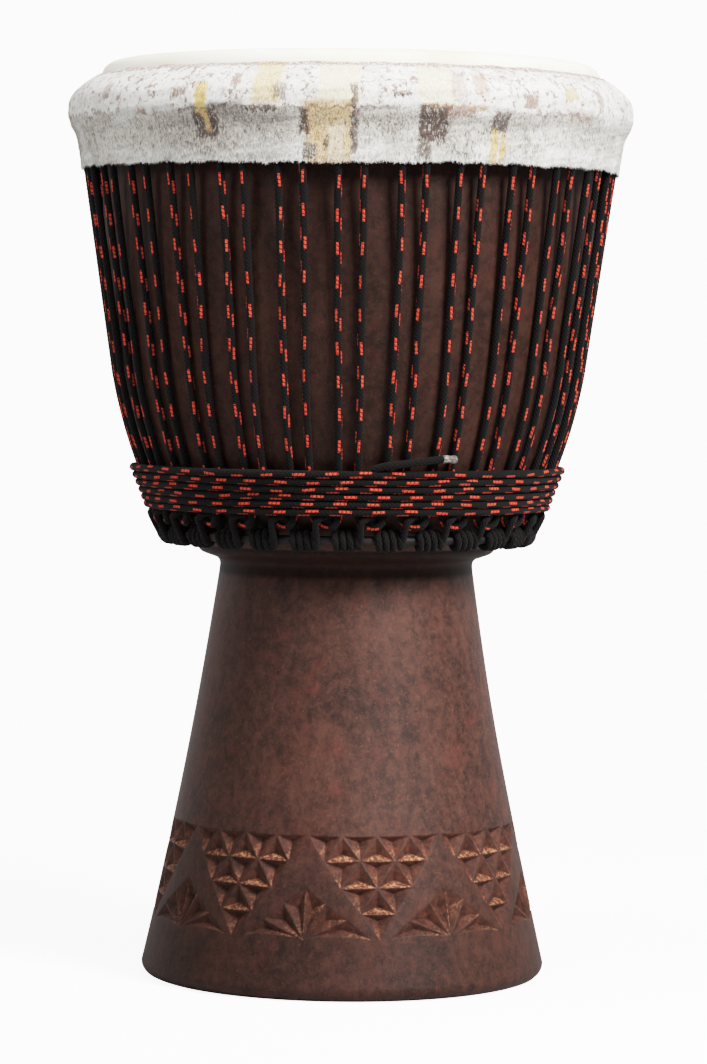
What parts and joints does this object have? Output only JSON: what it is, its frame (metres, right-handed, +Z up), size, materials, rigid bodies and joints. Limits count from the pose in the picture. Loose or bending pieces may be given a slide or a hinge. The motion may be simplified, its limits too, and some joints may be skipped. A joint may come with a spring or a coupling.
{
  "type": "djembe",
  "caption": "Goblet-shaped carved wooden hand drum with a goat skin head, hair-on folded collar, three rings and a vertical lacing of tuning rope.",
  "frame": {"origin": "centre of the foot, on the surface the drum stands on", "axes": "+Z up along the drum's axis, -Y is the front, +X is the right seen from the front"},
  "size_m": [0.371, 0.371, 0.6],
  "materials": {
    "shell_wood": "dark reddish brown stained hardwood, satin, worn to orange brown along carved edges",
    "head_skin": "shaved cream goat skin, dry and slightly translucent",
    "collar_hide": "goat skin with short white and grey hair, cream and brown patches",
    "ring_steel": "mild steel rod, bent and welded, dull",
    "plain_cord": "plain black braided cord",
    "flecked_rope": "black braided rope with short red flecks",
    "melted_tip": "rope end, pale, fused and slightly frayed"
  },
  "bodies": {
    "drum": {"drum_shell": "shell_wood", "head_membrane": "head_skin", "bottom_ring": "ring_steel", "bottom_cradle_cord": "plain_cord", "lacing_rope": "flecked_rope", "wrap_rope": "flecked_rope", "rope_tail": "flecked_rope", "rope_tail_tip": "melted_tip"},
    "crown": {"head_collar": "collar_hide", "flesh_ring": "ring_steel", "crown_ring": "ring_steel", "crown_cradle_cord": "plain_cord"}
  },
  "joints": [
    {"name": "crown_slide", "type": "slide", "parent": "drum", "child": "crown", "axis": [0, 0, 1], "range_m": [-0.008, 0.004], "deforming": ["lacing_rope"]}
  ]
}
